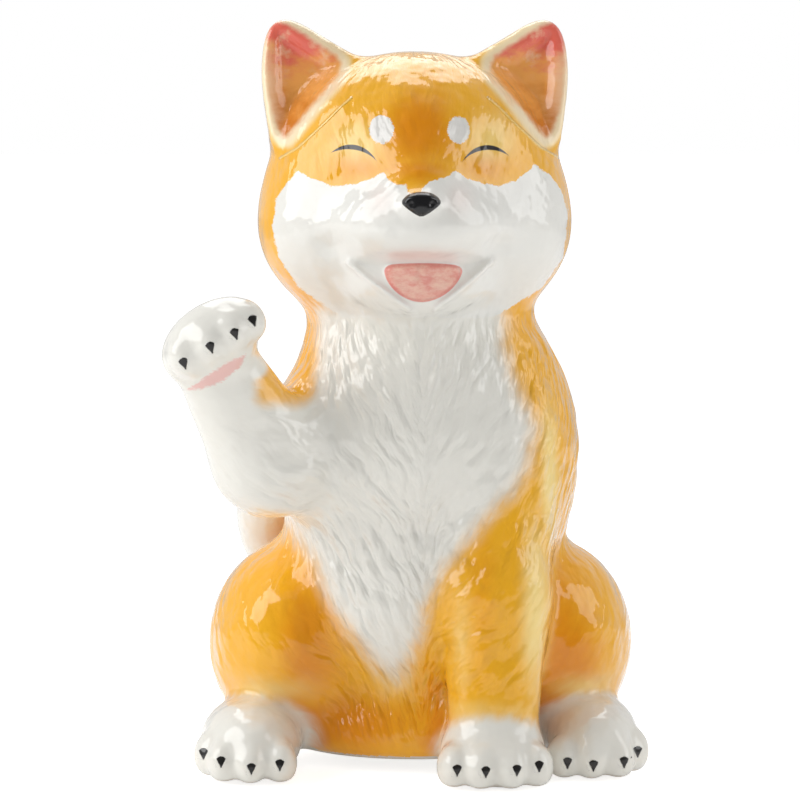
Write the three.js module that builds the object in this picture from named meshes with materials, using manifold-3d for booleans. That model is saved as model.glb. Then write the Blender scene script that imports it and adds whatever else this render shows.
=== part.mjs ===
// A seated, smiling dog coin bank in glazed ceramic, with one forepaw raised.
// Millimetres, +Z up. The dog faces -Y, its mid-plane is X = 0, and it stands on the floor Z = 0.
//
// The ceramic is one hollow slip casting: outer figure, less the hollow inside, the coin slot in the
// nape of the neck and the stopper hole in the underside. A rubber stopper closes the hole, and four
// thin pads sit in shallow seats under the front paw, the two hind feet and the root of the tail.

import * as THREE from "three";
import { mergeVertices } from "three/addons/utils/BufferGeometryUtils.js";
import Module from "manifold-3d";

const wasm = await Module();
wasm.setup();

// ---------------------------------------------------------------- driving dimensions

const HEIGHT = 250; // floor to ear tips
const WIDTH = 154; // outside of the raised paw to outside of the far haunch
const DEPTH = 152; // toes of the standing forepaw to the outside of the tail

const WALL = 4.5; // thickness of the casting
const BELLY = 4.5; // height of the belly's lower edge above the floor
const UNDERSIDE = 8; // height of the sunk face in the belly that the stopper's flange seats against

const SLOT_LENGTH = 38; // takes coins up to 36 across
const SLOT_WIDTH = 5;
const SLOT_HEIGHT = 140; // middle of the slot above the floor, at the drawn height

const HOLE_RADIUS = 17; // stopper hole
const HOLE_BACK = 10; // the hole's axis lies this far behind the neck's, under the neck all the same
const STOPPER_CLEARANCE = 0.4; // radial, between the stopper's ribs and the hole
const FLANGE_OVERHANG = 5; // the stopper's flange past the hole, all round
const FLANGE_THICKNESS = 2.4;
const FLANGE_GAP = 0.3; // between the flange and the underside
const RECESS_CLEARANCE = 3; // finger room around the flange in the underside
const PLUG_LENGTH = 11; // above the flange
const PLUG_SKIN = 2.2; // wall of the stopper's hollow plug
const RIB_STAND = 0.8; // how far the sealing ribs stand out of the plug
const RIB_HEIGHTS = [0.45, 0.78]; // the ribs' places, as shares of the plug's length
const PLUG_LEAD = 1.2; // how much narrower the plug's free end is, to start it in the hole
const STOPPER_EDGE = 0.6; // chamfer of the flange
const TAB_WIDTH = 3; // finger tab across the stopper's recess

const PAD_RADIUS = 6;
const PAD_THICKNESS = 1.6;
const PAD_STAND = 0.6; // how far a pad stands out of its seat
const PAD_CLEARANCE = 0.4; // around and above a pad in its seat
const PAD_EDGE = 0.3; // chamfer of a pad

const FAR = 200; // reaches past the figure on every side

// The figure is drawn in a block of this size and stretched to the driving sizes.
const DRAWN = new THREE.Vector3(154, 152, 250);
const stretch = new THREE.Vector3(WIDTH, DEPTH, HEIGHT).divide(DRAWN);

// ---------------------------------------------------------------- solids

// A closed three.js geometry as a solid that can be joined and cut.
function solid(geometry) {
  const bare = geometry.clone();
  bare.deleteAttribute("normal");
  bare.deleteAttribute("uv");
  const merged = mergeVertices(bare, 1e-4);
  return new wasm.Manifold(
    new wasm.Mesh({
      numProp: 3,
      vertProperties: new Float32Array(merged.attributes.position.array),
      triVerts: new Uint32Array(merged.index.array),
    }),
  );
}

const join = (solids) => solids.reduce((whole, next) => whole.add(next));

// The named mesh of a finished solid.
function meshOf(name, made, look) {
  const { vertProperties, triVerts } = made.getMesh();
  const geometry = new THREE.BufferGeometry();
  geometry.setAttribute("position", new THREE.BufferAttribute(vertProperties, 3));
  geometry.setIndex(new THREE.BufferAttribute(triVerts, 1));
  geometry.computeVertexNormals();
  const mesh = new THREE.Mesh(geometry, new THREE.MeshStandardMaterial(look));
  mesh.name = name;
  return mesh;
}

// Numbers between the given rows, so that few rows make a smooth skin (Catmull-Rom).
function refine(rows, steps) {
  const dense = [];
  for (let i = 0; i < rows.length - 1; i++) {
    const before = rows[Math.max(i - 1, 0)];
    const after = rows[Math.min(i + 2, rows.length - 1)];
    for (let s = 0; s < steps; s++) {
      const t = s / steps;
      dense.push(
        rows[i].map((b, k) => {
          const [a, c, d] = [before[k], rows[i + 1][k], after[k]];
          const bend = (2 * a - 5 * b + 4 * c - d) * t * t;
          const twist = (3 * b - a - 3 * c + d) * t ** 3;
          return 0.5 * (2 * b + (c - a) * t + bend + twist);
        }),
      );
    }
  }
  dense.push(rows.at(-1));
  return dense;
}

// Level elliptical rings skinned into a closed solid, from rows at the drawn size; inset moves the skin
// inwards by that many real millimetres.
function loft(rows, { inset = 0, sides = 32, mirror = 1 } = {}) {
  const points = [];
  const ring = ([z, x, halfWidth, front, back]) => {
    const reach = halfWidth * stretch.x - inset;
    const depth = ((back - front) / 2) * stretch.y - inset;
    for (let i = 0; i < sides; i++) {
      const turn = (i / sides) * 2 * Math.PI;
      const middle = ((front + back) / 2) * stretch.y;
      points.push(mirror * x * stretch.x + reach * Math.cos(turn));
      points.push(middle + depth * Math.sin(turn), z * stretch.z);
    }
  };
  rows.forEach(ring);
  for (const [z, x, , front, back] of [rows[0], rows.at(-1)]) {
    points.push(mirror * x * stretch.x, ((front + back) / 2) * stretch.y, z * stretch.z);
  }
  const index = [];
  const bottom = rows.length * sides;
  const last = (rows.length - 1) * sides;
  for (let i = 0; i < sides; i++) {
    const next = (i + 1) % sides;
    for (let row = 0; row < last; row += sides) {
      index.push(row + i, row + next, row + sides + next);
      index.push(row + i, row + sides + next, row + sides + i);
    }
    index.push(bottom, next, i);
    index.push(bottom + 1, last + i, last + next);
  }
  const geometry = new THREE.BufferGeometry();
  geometry.setAttribute("position", new THREE.Float32BufferAttribute(points, 3));
  geometry.setIndex(index);
  return solid(geometry);
}

// An ellipsoid of the figure. tilt turns it about X, Y and Z, in degrees.
function ball(centre, radii, { tilt = [0, 0, 0], inset = 0, sides = 18 } = {}) {
  const geometry = new THREE.SphereGeometry(1, sides, Math.round(sides * 0.6));
  const size = radii.map((radius, k) => radius - inset / stretch.getComponent(k));
  geometry.scale(...size);
  geometry.rotateX(THREE.MathUtils.degToRad(tilt[0]));
  geometry.rotateY(THREE.MathUtils.degToRad(tilt[1]));
  geometry.rotateZ(THREE.MathUtils.degToRad(tilt[2]));
  geometry.translate(...centre);
  geometry.scale(...stretch.toArray());
  return solid(geometry);
}

// A tapering limb with round ends, from one joint of the skeleton to the next.
function limb(from, to, fromRadius, toRadius, sides = 12) {
  const start = new THREE.Vector3(...from);
  const along = new THREE.Vector3(...to).sub(start);
  const length = along.length();
  const lean = Math.asin((fromRadius - toRadius) / length);
  const profile = [];
  const cap = (middle, radius, low, high) => {
    for (let i = 0; i <= 3; i++) {
      const turn = low + ((high - low) * i) / 3;
      const out = Math.max(radius * Math.cos(turn), 0);
      profile.push(new THREE.Vector2(out, middle + radius * Math.sin(turn)));
    }
  };
  cap(0, fromRadius, -Math.PI / 2, lean);
  cap(length, toRadius, lean, Math.PI / 2);
  profile[0].x = 0;
  profile.at(-1).x = 0;
  const geometry = new THREE.LatheGeometry(profile, sides);
  const turn = new THREE.Quaternion();
  turn.setFromUnitVectors(new THREE.Vector3(0, 1, 0), along.normalize());
  geometry.applyQuaternion(turn);
  geometry.translate(...from);
  geometry.scale(...stretch.toArray());
  return solid(geometry);
}

// A box from its low and high corners, in real millimetres.
function block(low, high) {
  const size = high.map((value, k) => value - low[k]);
  const geometry = new THREE.BoxGeometry(...size);
  geometry.translate(...low.map((value, k) => value + size[k] / 2));
  return solid(geometry);
}

// A turned solid about the vertical line through (x, y), from [radius, height] pairs.
function turned(outline, x, y, sides = 28) {
  const profile = outline.map(([radius, height]) => new THREE.Vector2(radius, height));
  const geometry = new THREE.LatheGeometry(profile, sides);
  geometry.rotateX(Math.PI / 2);
  geometry.translate(x, y, 0);
  return solid(geometry);
}

// ---------------------------------------------------------------- the figure, at the drawn size

const drawnBelly = BELLY / stretch.z;

// Rows of the lofts are [height, middle x, half width, front y, back y].
const TORSO = [
  [drawnBelly, 0, 44, -30, 60],
  [16, 0, 48, -36, 68],
  [34, 0, 49, -40, 70],
  [56, 0, 48.5, -43, 65],
  [80, 0, 48, -46, 55],
  [104, 0, 49, -49, 45],
  [124, 0, 45.5, -48, 39],
  [141, 0, 37, -40, 35],
  [156, 0, 34.5, -30, 34],
  [172, 0, 36, -26, 34],
];
const HEAD = [
  [150, 0, 22, -24, 22],
  [155, 0, 33, -34, 31],
  [163, 0, 42.5, -41, 38],
  [172, 0, 47.5, -44.5, 42],
  [183, 0, 49.2, -46, 44.5],
  [195, 0, 48.5, -46, 45],
  [206, 0, 46, -44, 43],
  [217, 0, 41.5, -40, 39],
  [227, 0, 33.5, -32, 31],
  [233, 0, 23.5, -22, 21],
  [236, 0, 9, -9, 8],
];
const MUZZLE = { centre: [0, -37, 180.5], radii: [25.5, 25.5, 14] };
const JAW = { centre: [0, -32, 163.5], radii: [22, 20.5, 12.5] };
const HAUNCH = { centre: [41.5, 9, 39], radii: [29.8, 43, 34.5], tilt: [-14, 0, 0] };

// The ear: rings that lean outwards as they rise to the tip.
const EAR = [
  [200, 27, 20.5, -17, 17],
  [218, 29, 21, -16, 15],
  [228, 31, 19, -14, 13],
  [236, 34.5, 15, -11, 10.5],
  [243, 39, 9, -7.5, 7.5],
  [248, 42.3, 4, -3.5, 4],
  [250, 43, 1.4, -0.8, 1.4],
];
const EAR_RIM = 3.2; // thickness of the ear's edge around its front hollow
const EAR_HOLLOW = 9; // how far the hollow is set forward of the ear

const mirrored = ({ centre: [x, y, z], ...rest }, side) => ({ centre: [side * x, y, z], ...rest });

// The two round solids of a pair, one on each side of the mid-plane.
const pair = (part, inset = 0) =>
  join([-1, 1].map((side) => {
    const { centre, radii, tilt } = mirrored(part, side);
    return ball(centre, radii, { tilt, inset });
  }));

function ear(side) {
  const hollow = EAR.map(([z, x, width, front, back]) => {
    return [z - EAR_RIM, x, width, front - EAR_HOLLOW, back - EAR_HOLLOW];
  });
  const outside = loft(EAR, { sides: 18, mirror: side });
  return outside.subtract(loft(hollow.slice(1, -1), { inset: EAR_RIM, sides: 18, mirror: side }));
}

function head() {
  const nose = ball([0, -59, 188.5], [6.6, 5.6, 4.4], { sides: 12 });
  const mouth = ball([0, -55, 163.5], [15, 12, 7.5], { sides: 12 });
  const tongue = ball([0, -45, 161], [12.5, 12, 6.5], { tilt: [18, 0, 0], sides: 12 });
  return join([
    loft(HEAD, { sides: 26 }),
    ball(MUZZLE.centre, MUZZLE.radii),
    ball(JAW.centre, JAW.radii),
    ear(-1),
    ear(1),
  ])
    .subtract(mouth)
    .add(nose)
    .add(tongue);
}

// Four toes side by side along `row`, each reaching `reach` past the middle of the paw.
function toes(middle, row, reach, radius) {
  return join([-1.5, -0.5, 0.5, 1.5].map((place) => {
    const back = Math.abs(place) > 1 ? 0.35 * radius : 0;
    const centre = middle.map((value, k) => value + place * row[k] + (k === 1 ? back - reach : 0));
    return ball(centre, [radius, radius * 1.3, radius * 1.15], { sides: 8 });
  }));
}

const FRONT_PAW = { middle: [22.5, -45, 8.5], radii: [17.2, 19, 12] };
const HIND_FEET = [
  { middle: [-55.8, -20, 11], radii: [16.6, 30, 14] },
  { middle: [57, -18, 11], radii: [15.4, 30, 14] },
];

function standingForeleg() {
  return join([
    limb([24, -22, 108], [24, -37, 60], 20, 17),
    limb([24, -37, 60], [23, -41, 16], 17, 14.5),
    ball(FRONT_PAW.middle, FRONT_PAW.radii),
    toes([22.5, -47, 7], [8.8, 0, 0], 11.5, 6),
  ]);
}

function raisedForeleg() {
  return join([
    limb([-26, -14, 109], [-49, -33, 105.5], 24, 18.3),
    limb([-50, -34, 105.5], [-67, -46, 137], 18, 13.2),
    ball([-68, -53, 145.2], [17.6, 13.5, 11.4], { tilt: [0, -33, 0] }),
    toes([-65.6, -54, 146], [6.8, 0, 4], 7.5, 5.2),
  ]);
}

function hindFeet() {
  return join(HIND_FEET.flatMap(({ middle, radii }) => [
    ball(middle, radii),
    toes([middle[0], middle[1], 7.5], [8.2, 0, 0], 22, 6),
  ]));
}

// The tail leaves the rump at the floor and curls up against the back, over the dog's right hip.
function tail() {
  const route = [[0, 56, 14], [-11, 68, 31], [-30, 69, 52], [-45, 53, 73], [-45, 34, 89], [-33, 21, 97]];
  const radii = [13.5, 15.5, 16, 13.5, 9.5, 5];
  return join(route.slice(1).map((end, i) => limb(route[i], end, radii[i], radii[i + 1])));
}

// ---------------------------------------------------------------- the ceramic casting

const PAD_PLACES = {
  pad_front_paw: [25, -49],
  pad_hind_right: [-55, -24],
  pad_hind_left: [57.5, -22],
  pad_tail_root: [0, 57],
};
const padPlace = ([x, y]) => [x * stretch.x, y * stretch.y];

function figure() {
  return join([
    loft(refine(TORSO, 2), { sides: 28 }),
    pair(HAUNCH),
    head(),
    standingForeleg(),
    raisedForeleg(),
    hindFeet(),
    tail(),
  ]);
}

// The same rows drawn together by a wall's thickness at the top and at the bottom.
function shortened(rows) {
  const [low, high] = [rows[0][0], rows.at(-1)[0]];
  const middle = (low + high) / 2;
  const share = 1 - (2 * WALL) / ((high - low) * stretch.z);
  return rows.map(([z, ...ring]) => [middle + (z - middle) * share, ...ring]);
}

function hollow() {
  const rows = TORSO.filter(([z]) => z * stretch.z > UNDERSIDE + WALL);
  const floorRow = [(UNDERSIDE + WALL) / stretch.z, ...rows[0].slice(1)];
  return join([
    loft([floorRow, ...rows.slice(1)], { inset: WALL, sides: 18 }),
    loft(shortened(HEAD), { inset: WALL, sides: 16 }),
    ball(MUZZLE.centre, MUZZLE.radii, { inset: WALL * 1.4, sides: 12 }),
    pair(HAUNCH, WALL).subtract(block([-FAR, -FAR, -FAR], [FAR, FAR, UNDERSIDE + WALL])),
  ]);
}

function ceramicBody() {
  const recessRadius = HOLE_RADIUS + FLANGE_OVERHANG + RECESS_CLEARANCE;
  const recess = turned(
    [[0, -FAR], [recessRadius, -FAR], [recessRadius, UNDERSIDE], [0, UNDERSIDE]],
    0,
    HOLE_BACK,
  );
  const ground = block([-FAR, -FAR, -FAR], [FAR, FAR, PAD_STAND]);
  const slotMiddle = SLOT_HEIGHT * stretch.z;
  const slot = block(
    [-SLOT_LENGTH / 2, 0, slotMiddle - SLOT_WIDTH / 2],
    [SLOT_LENGTH / 2, FAR, slotMiddle + SLOT_WIDTH / 2],
  );
  const top = UNDERSIDE + 2 * WALL;
  const hole = turned(
    [[0, -FAR], [HOLE_RADIUS, -FAR], [HOLE_RADIUS, top], [0, top]],
    0,
    HOLE_BACK,
  );
  const seatTop = PAD_THICKNESS + PAD_CLEARANCE;
  const seatRadius = PAD_RADIUS + PAD_CLEARANCE;
  const seats = join(Object.values(PAD_PLACES).map((place) => {
    return turned(
      [[0, -FAR], [seatRadius, -FAR], [seatRadius, seatTop], [0, seatTop]],
      ...padPlace(place),
      16,
    );
  }));
  return figure()
    .subtract(hollow())
    .subtract(recess)
    .subtract(ground)
    .subtract(slot)
    .subtract(hole)
    .subtract(seats);
}

// ---------------------------------------------------------------- stopper and pads

function baseStopper() {
  const flangeTop = UNDERSIDE - FLANGE_GAP;
  const flangeLow = flangeTop - FLANGE_THICKNESS;
  const top = flangeTop + PLUG_LENGTH;
  const rib = HOLE_RADIUS - STOPPER_CLEARANCE;
  const plug = rib - RIB_STAND;
  const flange = HOLE_RADIUS + FLANGE_OVERHANG;
  const hollowRadius = plug - PLUG_SKIN;
  const skinTop = flangeTop + PLUG_SKIN; // the web that closes the plug
  const ribs = RIB_HEIGHTS.flatMap((share) => {
    const height = flangeTop + share * PLUG_LENGTH;
    return [[plug, height - RIB_STAND], [rib, height], [plug, height + RIB_STAND]];
  });
  const stopper = turned(
    [
      [0, flangeLow],
      [flange - STOPPER_EDGE, flangeLow],
      [flange, flangeLow + STOPPER_EDGE],
      [flange, flangeTop - STOPPER_EDGE],
      [flange - STOPPER_EDGE, flangeTop],
      [plug, flangeTop],
      ...ribs,
      [plug - PLUG_LEAD, top],
      [hollowRadius, top],
      [hollowRadius, skinTop],
      [0, skinTop],
    ],
    0,
    HOLE_BACK,
  );
  // The finger recess in the flange's underside, with the tab left standing across it.
  const recessRadius = hollowRadius - PLUG_SKIN;
  const recess = turned(
    [[0, -FAR], [recessRadius, -FAR], [recessRadius, flangeTop], [0, flangeTop]],
    0,
    HOLE_BACK,
  );
  const tab = block(
    [-recessRadius - 1, HOLE_BACK - TAB_WIDTH / 2, -FAR],
    [recessRadius + 1, HOLE_BACK + TAB_WIDTH / 2, flangeTop],
  );
  return stopper.subtract(recess.subtract(tab));
}

function pad([x, y]) {
  return turned(
    [
      [0, 0],
      [PAD_RADIUS - PAD_EDGE, 0],
      [PAD_RADIUS, PAD_EDGE],
      [PAD_RADIUS, PAD_THICKNESS],
      [0, PAD_THICKNESS],
    ],
    x,
    y,
    16,
  );
}

// ---------------------------------------------------------------- the assembly

const GLAZE = { color: 0xefb052, roughness: 0.12, metalness: 0 };
const RUBBER = { color: 0xe4ded0, roughness: 0.7, metalness: 0 };
const FOAM = { color: 0xd8d4ca, roughness: 0.9, metalness: 0 };

const bank = new THREE.Group();
bank.add(meshOf("ceramic_body", ceramicBody(), GLAZE));
bank.add(meshOf("base_stopper", baseStopper(), RUBBER));
for (const [name, place] of Object.entries(PAD_PLACES)) {
  bank.add(meshOf(name, pad(padPlace(place)), FOAM));
}

// The origin is the middle of the footprint, on the floor.
const bounds = new THREE.Box3().setFromObject(bank);
const middle = bounds.getCenter(new THREE.Vector3());
bank.position.set(-middle.x, -middle.y, -bounds.min.z);

const group = new THREE.Group();
group.add(bank);

export default group;
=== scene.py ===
import math
from collections import namedtuple
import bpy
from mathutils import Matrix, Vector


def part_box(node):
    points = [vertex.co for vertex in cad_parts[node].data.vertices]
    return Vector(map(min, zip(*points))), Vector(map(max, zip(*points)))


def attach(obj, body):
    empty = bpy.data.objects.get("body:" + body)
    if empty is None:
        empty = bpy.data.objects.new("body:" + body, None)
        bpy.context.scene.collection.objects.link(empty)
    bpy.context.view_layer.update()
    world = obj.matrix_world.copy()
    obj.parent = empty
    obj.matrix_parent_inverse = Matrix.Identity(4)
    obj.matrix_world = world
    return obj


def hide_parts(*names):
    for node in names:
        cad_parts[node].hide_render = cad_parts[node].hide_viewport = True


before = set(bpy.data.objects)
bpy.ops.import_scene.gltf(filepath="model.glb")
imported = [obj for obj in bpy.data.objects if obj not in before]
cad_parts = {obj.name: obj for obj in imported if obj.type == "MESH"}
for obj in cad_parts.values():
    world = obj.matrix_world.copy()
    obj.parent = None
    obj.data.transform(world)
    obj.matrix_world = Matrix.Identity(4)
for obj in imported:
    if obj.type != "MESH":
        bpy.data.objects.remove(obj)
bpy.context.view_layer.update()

from copy import deepcopy

import bpy
import numpy as np
from mathutils import Euler, Vector

# ---- the figure's own frame
#
# The sculpture is described in millimetres in the figure's own frame: X = 0 is the dog's mid-plane, the
# dog faces -Y, Z = 0 is the floor, and the stopper's axis is HOLE_BACK behind Y = 0.

HOLE_BACK = 10
STOPPER_LOW, STOPPER_HIGH = (np.array(corner) * 1000 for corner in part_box("base_stopper"))
ORIGIN = np.array([*((STOPPER_LOW + STOPPER_HIGH) / 2)[:2], 0]) - [0, HOLE_BACK, 0]


def to_row(points):
    """Points of the figure, in millimetres, as metres in the row's frame."""
    return (np.asarray(points, float) + ORIGIN) / 1000


WALL = 4.5  # thickness of the casting
UNDERSIDE = 8  # height of the sunk face that the stopper seats in
BELLY = 4.5  # height of the belly's lower edge
PAD_STAND = 0.6  # how far the pads hold the clay off the floor
HOLE_RADIUS = 17  # the stopper's hole
RECESS_RADIUS = 25  # finger room around the stopper
SLOT_LENGTH, SLOT_WIDTH, SLOT_HEIGHT = 38, 5, 140
HEAD_X = -1.0  # the head sits a little to the dog's right

# ---- clay: a distance field on a grid

EMPTY = 60  # the distance kept where there is no clay yet
MARGIN = 3  # how far past its box and its blend a shape is worked out


def graded(low, high, coarse, fine_low, fine_high, fine):
    """Grid lines from low to high, closer together between fine_low and fine_high."""
    return np.concatenate([
        np.arange(low, fine_low, coarse),
        np.arange(fine_low, fine_high, fine),
        np.arange(fine_high, high, coarse),
    ]).astype(np.float32)


def smooth_min(a, b, k):
    """The lower of two fields, with a fillet of about k where they cross."""
    h = np.maximum(k - np.abs(a - b), 0) / k
    return np.minimum(a, b) - h * h * (k / 4)


class Clay:
    """Distance to the surface in millimetres on a grid, negative inside."""

    def __init__(self, axes):
        self.axes = axes
        self.field = np.full([len(axis) for axis in axes], EMPTY, np.float32)

    def window(self, low, high, margin):
        """The grid's slices that hold the box, and their coordinates ready to broadcast."""
        cut = []
        for axis, a, b in zip(self.axes, low, high):
            cut.append(slice(*np.searchsorted(axis, [a - margin, b + margin])))
        x, y, z = (axis[part] for axis, part in zip(self.axes, cut))
        return tuple(cut), (x[:, None, None], y[None, :, None], z[None, None, :])

    def add(self, shape, blend):
        cut, points = self.window(shape.low, shape.high, blend + MARGIN)
        self.field[cut] = smooth_min(self.field[cut], shape.distance(*points), blend)
        return self

    def carve(self, shape, blend):
        cut, points = self.window(shape.low, shape.high, blend + MARGIN)
        self.field[cut] = -smooth_min(-self.field[cut], shape.distance(*points), blend)

    def press(self, low, high, depth):
        """Moves the surface inwards by depth(x, z) millimetres inside the box."""
        cut, (x, _, z) = self.window(low, high, 0)
        self.field[cut] += depth(x, z)

    def sample(self, points):
        """The field at any points, between the grid's lines."""
        places, shares = [], []
        for k, axis in enumerate(self.axes):
            place = np.clip(np.searchsorted(axis, points[:, k]) - 1, 0, len(axis) - 2)
            places.append(place)
            shares.append((points[:, k] - axis[place]) / (axis[place + 1] - axis[place]))
        total = np.zeros(len(points))
        for corner in range(8):
            weight, at = 1.0, []
            for k in range(3):
                up = corner >> k & 1
                weight = weight * (shares[k] if up else 1 - shares[k])
                at.append(places[k] + up)
            total += weight * self.field[tuple(at)]
        return total

    def slope(self, points, step=0.5):
        """The field's gradient at any points."""
        slopes = []
        for k in range(3):
            move = np.zeros(3)
            move[k] = step
            slopes.append((self.sample(points + move) - self.sample(points - move)) / (2 * step))
        return np.stack(slopes, 1)

    def normal(self, points):
        slope = self.slope(points)
        return slope / np.maximum(np.linalg.norm(slope, axis=1), 1e-4)[:, None]


Shape = namedtuple("Shape", "low high distance")  # a solid: its box, and its distance from x, y and z


def ball(centre, radii, tilt=(0, 0, 0)):
    """An ellipsoid, turned about X, then Y, then Z by tilt in degrees."""
    centre, radii = np.array(centre, np.float32), np.array(radii, np.float32)
    turn = np.array(Euler(np.radians(tilt)).to_matrix(), np.float32).T
    reach = np.abs(turn.T) @ radii if any(tilt) else radii

    def distance(x, y, z):
        at = [x - centre[0], y - centre[1], z - centre[2]]
        if any(tilt):
            at = [row[0] * at[0] + row[1] * at[1] + row[2] * at[2] for row in turn]
        near = sum((p / r) ** 2 for p, r in zip(at, radii)) ** 0.5
        far = sum((p / (r * r)) ** 2 for p, r in zip(at, radii)) ** 0.5
        return near * (near - 1) / np.maximum(far, 1e-4)

    return Shape(centre - reach, centre + reach, distance)


def limb(start, end, start_radius, end_radius):
    """A cone with round ends."""
    a, b = np.array(start, np.float32), np.array(end, np.float32)
    along = b - a
    length = float(np.linalg.norm(along))
    lean = (start_radius - end_radius) / length
    slant = lean / math.sqrt(1 - lean * lean)

    def distance(x, y, z):
        p = [x - a[0], y - a[1], z - a[2]]
        up = sum(pk * ak for pk, ak in zip(p, along)) / length
        out = np.sqrt(np.maximum(sum(pk * pk for pk in p) - up * up, 0))
        at = np.clip(up - out * slant, 0, length)
        return np.hypot(out, up - at) - (start_radius - lean * at)

    low = np.minimum(a - start_radius, b - end_radius)
    high = np.maximum(a + start_radius, b + end_radius)
    return Shape(low, high, distance)


def segment_distance2(start, end, x, z):
    """Squared distance in the XZ plane to a straight segment. Arrays broadcast."""
    (ax, az), (bx, bz) = start, end
    ex, ez = bx - ax, bz - az
    share = np.clip(((x - ax) * ex + (z - az) * ez) / (ex * ex + ez * ez), 0, 1)
    return (x - ax - ex * share) ** 2 + (z - az - ez * share) ** 2


def path_distance(path, x, z):
    """Distance in the XZ plane to an open path."""
    return np.sqrt(np.minimum.reduce([segment_distance2(a, b, x, z) for a, b in zip(path, path[1:])]))


def outline_distance(outline, x, z):
    """Distance in the XZ plane to a closed outline, negative inside."""
    inside = np.zeros(np.broadcast(x, z).shape, bool)
    best = np.full(inside.shape, np.inf, np.float32)
    for (ax, az), (bx, bz) in zip(outline, np.roll(outline, -1, 0)):
        best = np.minimum(best, segment_distance2((ax, az), (bx, bz), x, z))
        crosses = (az > z) != (bz > z)
        inside ^= crosses & (x < ax + (z - az) * (bx - ax) / ((bz - az) or 1e-9))
    return np.where(inside, -1, 1) * np.sqrt(best)


def spline(points, steps):
    """A smooth curve through the points (Catmull-Rom), steps pieces between each pair."""
    p = np.array(points, float)
    p = np.concatenate([[2 * p[0] - p[1]], p, [2 * p[-1] - p[-2]]])
    made = []
    for a, b, c, d in zip(p, p[1:], p[2:], p[3:]):
        for t in np.arange(steps) / steps:
            made.append(0.5 * (2 * b + (c - a) * t + (2 * a - 5 * b + 4 * c - d) * t * t
                               + (3 * b - 3 * c + d - a) * t ** 3))
    return np.array([*made, p[-2]])


def rounded(points, times=2):
    """A closed outline with its corners cut round (Chaikin)."""
    points = np.array(points, float)
    for _ in range(times):
        after = np.roll(points, -1, 0)
        points = np.stack([0.75 * points + 0.25 * after, 0.25 * points + 0.75 * after], 1).reshape(-1, 2)
    return points


def column(centre, radius, low, high):
    """An upright cylinder."""

    def distance(x, y, z):
        out = np.sqrt((x - centre[0]) ** 2 + (y - centre[1]) ** 2) - radius
        up = np.maximum(low - z, z - high)
        return np.maximum(out, up)

    return Shape([centre[0] - radius, centre[1] - radius, low],
                 [centre[0] + radius, centre[1] + radius, high], distance)


def brick(low, high, edge):
    """A box with rounded edges."""
    middle = (np.array(low) + np.array(high)) / 2
    half = (np.array(high) - np.array(low)) / 2 - edge

    def distance(x, y, z):
        q = [np.abs(p - m) - h for p, m, h in zip((x, y, z), middle, half)]
        outside = sum(np.maximum(k, 0) ** 2 for k in q) ** 0.5
        return outside + np.minimum(np.maximum(np.maximum(q[0], q[1]), q[2]), 0) - edge

    return Shape(low, high, distance)


# ---- the figure

EAR_OUTLINE = [(8, 226), (17, 230.5), (31, 238.5), (41.5, 245), (45.8, 243.5), (47.6, 233), (46.6, 220),
               (43.5, 203), (20, 200)]
EAR_ROUND = 3.4  # radius of the ear's edges
EAR_LIP = 2.4  # fillet where the dish meets the ear's face
EAR_DISH = 6.5  # depth of the dish
EAR_BANK = (-2.2, 7.5)  # its bank, from just outside the border to this far inside
EAR_SILL = 0.94  # lifts the bank, so that it starts level at the border
EAR_SKIM = 1.5  # the border lies this far in front of the ear's face
EAR_HOLLOW = [(22, 233), (32, 240), (44.5, 248), (49, 245.5), (49.8, 232), (48.4, 219), (43.9, 207.5),
              (40.5, 211), (32, 222)]
EAR_LOW, EAR_HIGH = 205, 247


def ear_outline(points, side):
    """An outline drawn for the dog's left ear, rounded and put on either side of the head."""
    return rounded(points) * [side, 1] + [HEAD_X, 0]


def ear(side):
    """One ear: a thick rounded leaf that thins upwards, with a dish pressed into its front."""
    leaf, hollow = ear_outline(EAR_OUTLINE, side), ear_outline(EAR_HOLLOW, side)

    def distance(x, y, z):
        flat = outline_distance(leaf, x, z)
        share = np.clip((z - EAR_LOW) / (EAR_HIGH - EAR_LOW), 0, 1)
        front = -15 + 9 * share
        back = 14 - 9.5 * share
        deep = np.abs(y - (front + back) / 2) - ((back - front) / 2 - EAR_ROUND)
        outside = np.sqrt(np.maximum(flat, 0) ** 2 + np.maximum(deep, 0) ** 2)
        whole = outside + np.minimum(np.maximum(flat, deep), 0) - EAR_ROUND
        inner = -outline_distance(hollow, x, z)
        dish = EAR_DISH * step(*EAR_BANK, inner) - EAR_SILL
        floor = front - EAR_SKIM + np.where(inner > 0, dish, inner)
        return -smooth_min(-whole, (y - floor) * 0.62, EAR_LIP)  # scaled down, because the banks are steep

    xs = sorted([side * 4 + HEAD_X, side * 53 + HEAD_X])
    return Shape([xs[0], -17, 198], [xs[1], 15, 251], distance)


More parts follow.
